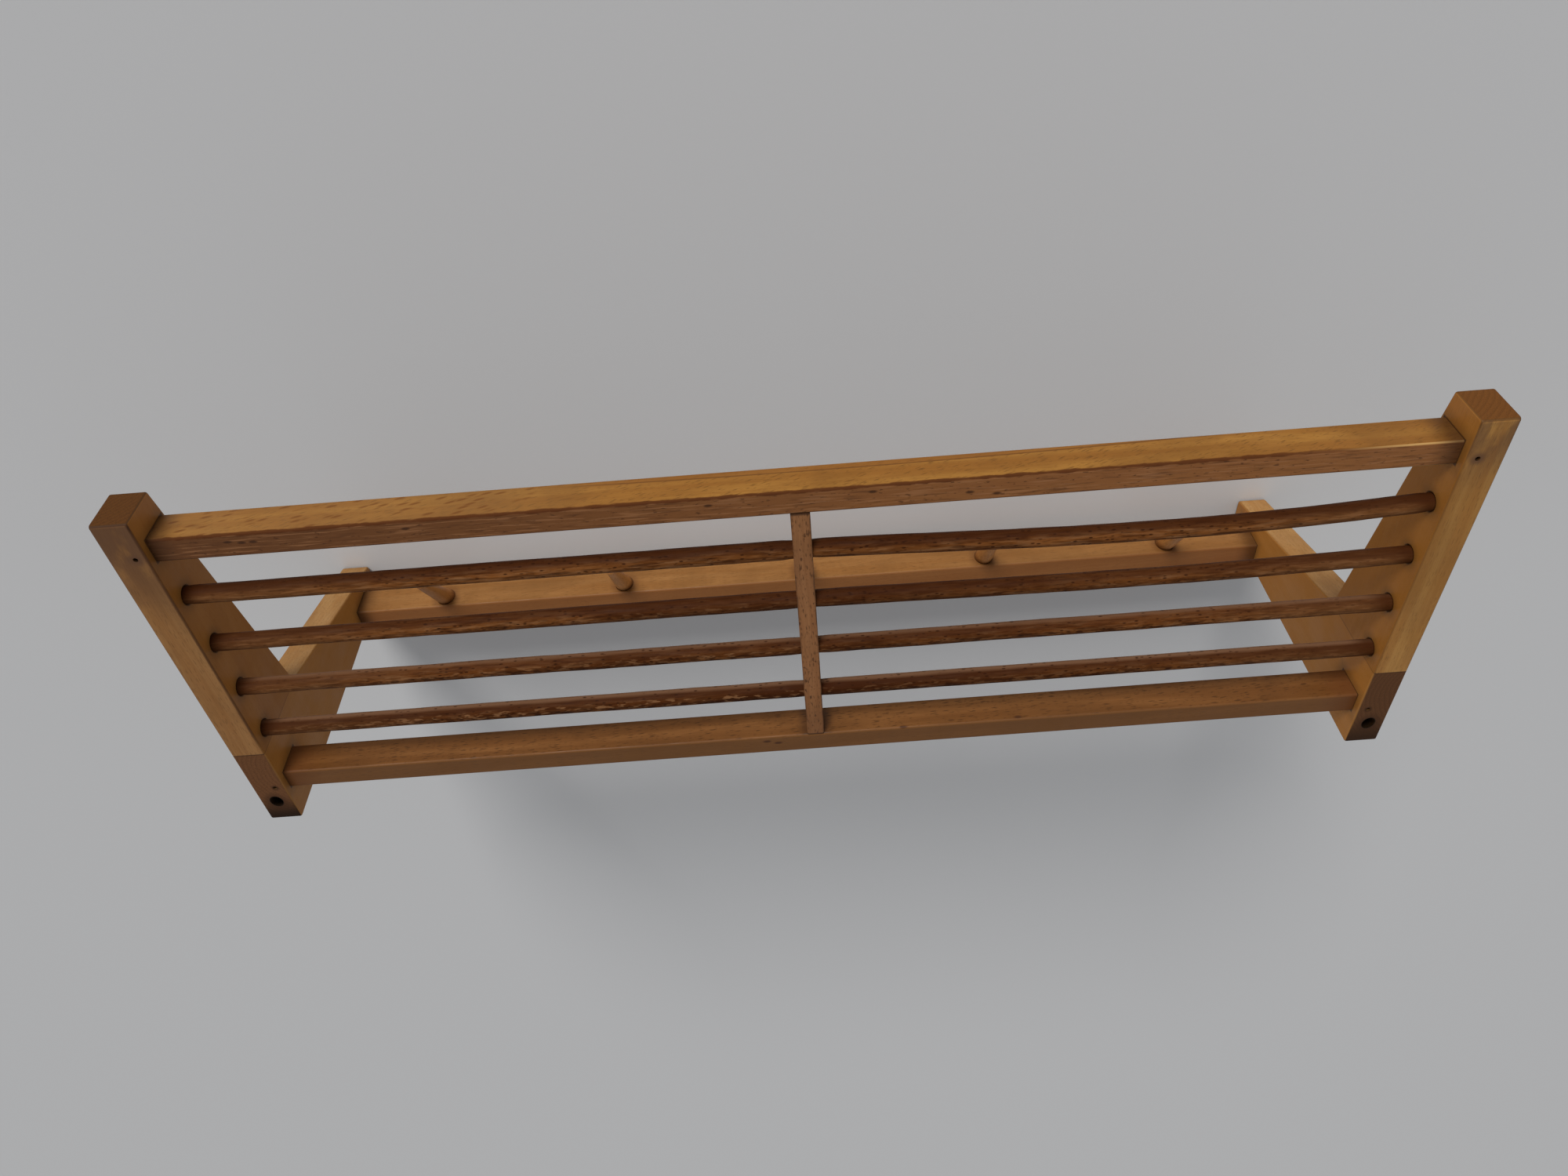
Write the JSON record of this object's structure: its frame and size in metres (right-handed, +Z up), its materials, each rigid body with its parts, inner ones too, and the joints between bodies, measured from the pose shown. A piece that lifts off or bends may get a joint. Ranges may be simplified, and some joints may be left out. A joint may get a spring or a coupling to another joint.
{
  "type": "wall coat rack with shelf",
  "caption": "Wooden wall coat rack: tapered L-shaped brackets carry a slatted shelf of round dowels between two rails, above a rail of upward-slanted coat pegs.",
  "frame": {"origin": "on the wall, at mid-length, behind the centre line of the peg rail", "axes": "+X along the rack to the right of someone facing it, +Y into the wall, +Z up"},
  "size_m": [0.716, 0.247, 0.2175],
  "materials": {
    "bracket_beech": "honey-coloured varnish, satin",
    "rail_beech": "honey-coloured varnish, satin",
    "dark_dowel": "dark streaky stain under worn varnish",
    "stay_beech": "flecked varnish, satin",
    "peg_beech": "turned and varnished, satin",
    "pin_beech": "bare",
    "nail_steel": "dull, darkened"
  },
  "bodies": {
    "root": {"left_wall_leg": "bracket_beech", "left_shelf_arm": "bracket_beech", "left_upper_joint_pin": "pin_beech", "left_lower_joint_pin": "pin_beech", "right_wall_leg": "bracket_beech", "right_shelf_arm": "bracket_beech", "right_upper_joint_pin": "pin_beech", "right_lower_joint_pin": "pin_beech", "front_rail": "rail_beech", "rear_rail": "rail_beech", "shelf_dowel_1": "dark_dowel", "shelf_dowel_2": "dark_dowel", "shelf_dowel_3": "dark_dowel", "shelf_dowel_4": "dark_dowel", "centre_stay": "stay_beech", "peg_rail": "rail_beech", "coat_peg_1": "peg_beech", "coat_peg_2": "peg_beech", "coat_peg_3": "peg_beech", "coat_peg_4": "peg_beech", "coat_peg_5": "peg_beech", "front_rail_nails": "nail_steel", "rear_rail_nails": "nail_steel", "peg_rail_nails": "nail_steel"}
  },
  "joints": []
}
